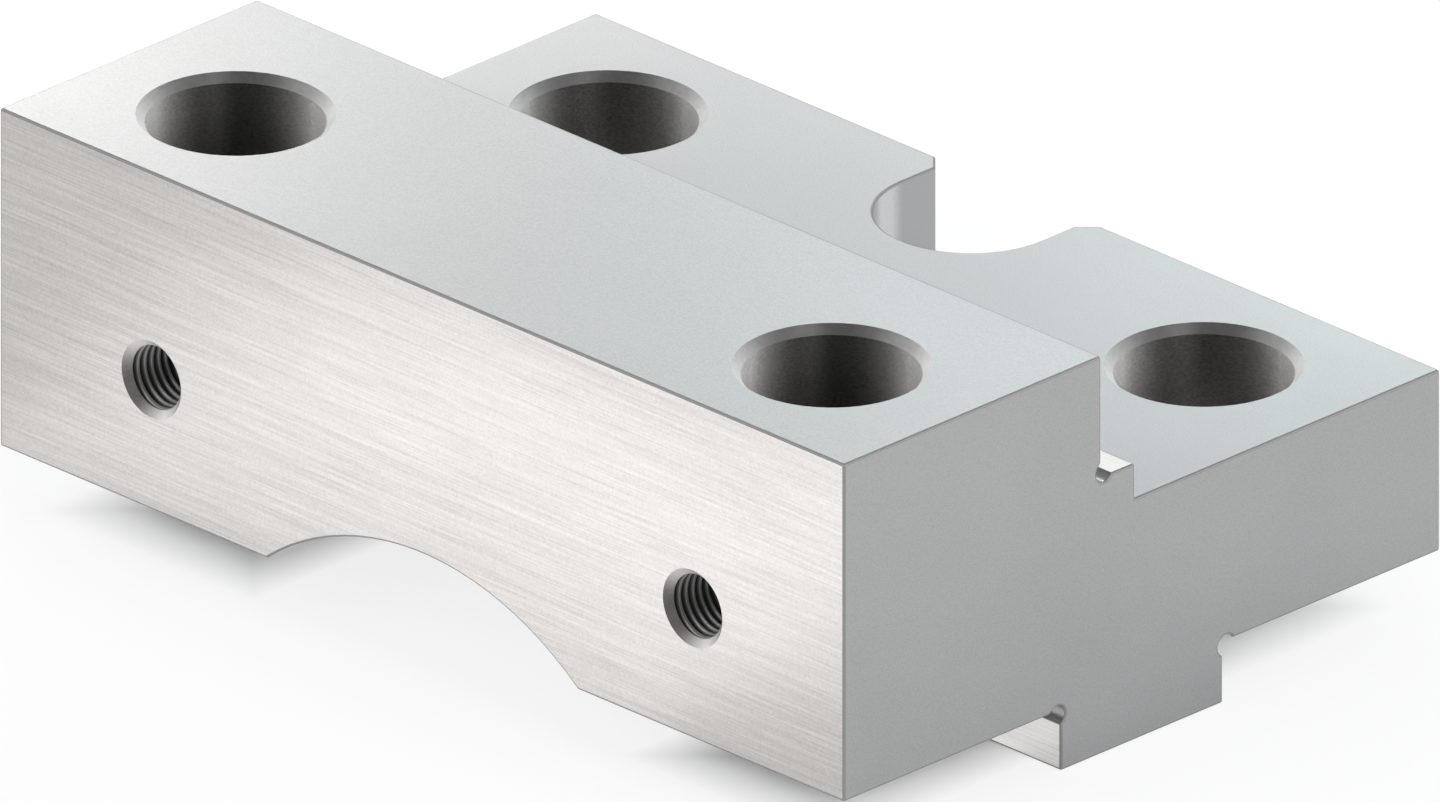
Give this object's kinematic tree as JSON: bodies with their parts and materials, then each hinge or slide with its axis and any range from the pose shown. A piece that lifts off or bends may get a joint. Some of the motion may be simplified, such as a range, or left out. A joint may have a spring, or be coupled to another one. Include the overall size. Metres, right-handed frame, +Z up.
{
  "type": "gripper finger jaw",
  "caption": "Stepped steel gripper finger jaw with clearance bores, threaded holes in the gripping face, an arched underside, a locating tongue and a notched shelf.",
  "frame": {"origin": "bottom of the tongue, halfway along the length and halfway between the gripping face and the back face", "axes": "+X along the length, -Y out of the gripping face, +Z up from the tongue to the top of the block"},
  "size_m": [0.085, 0.06, 0.0312],
  "materials": {
    "steel": "ground along the length on the gripping face and tongue, fine satin on the other faces"
  },
  "bodies": {
    "root": {"finger_jaw": "steel"}
  },
  "joints": []
}
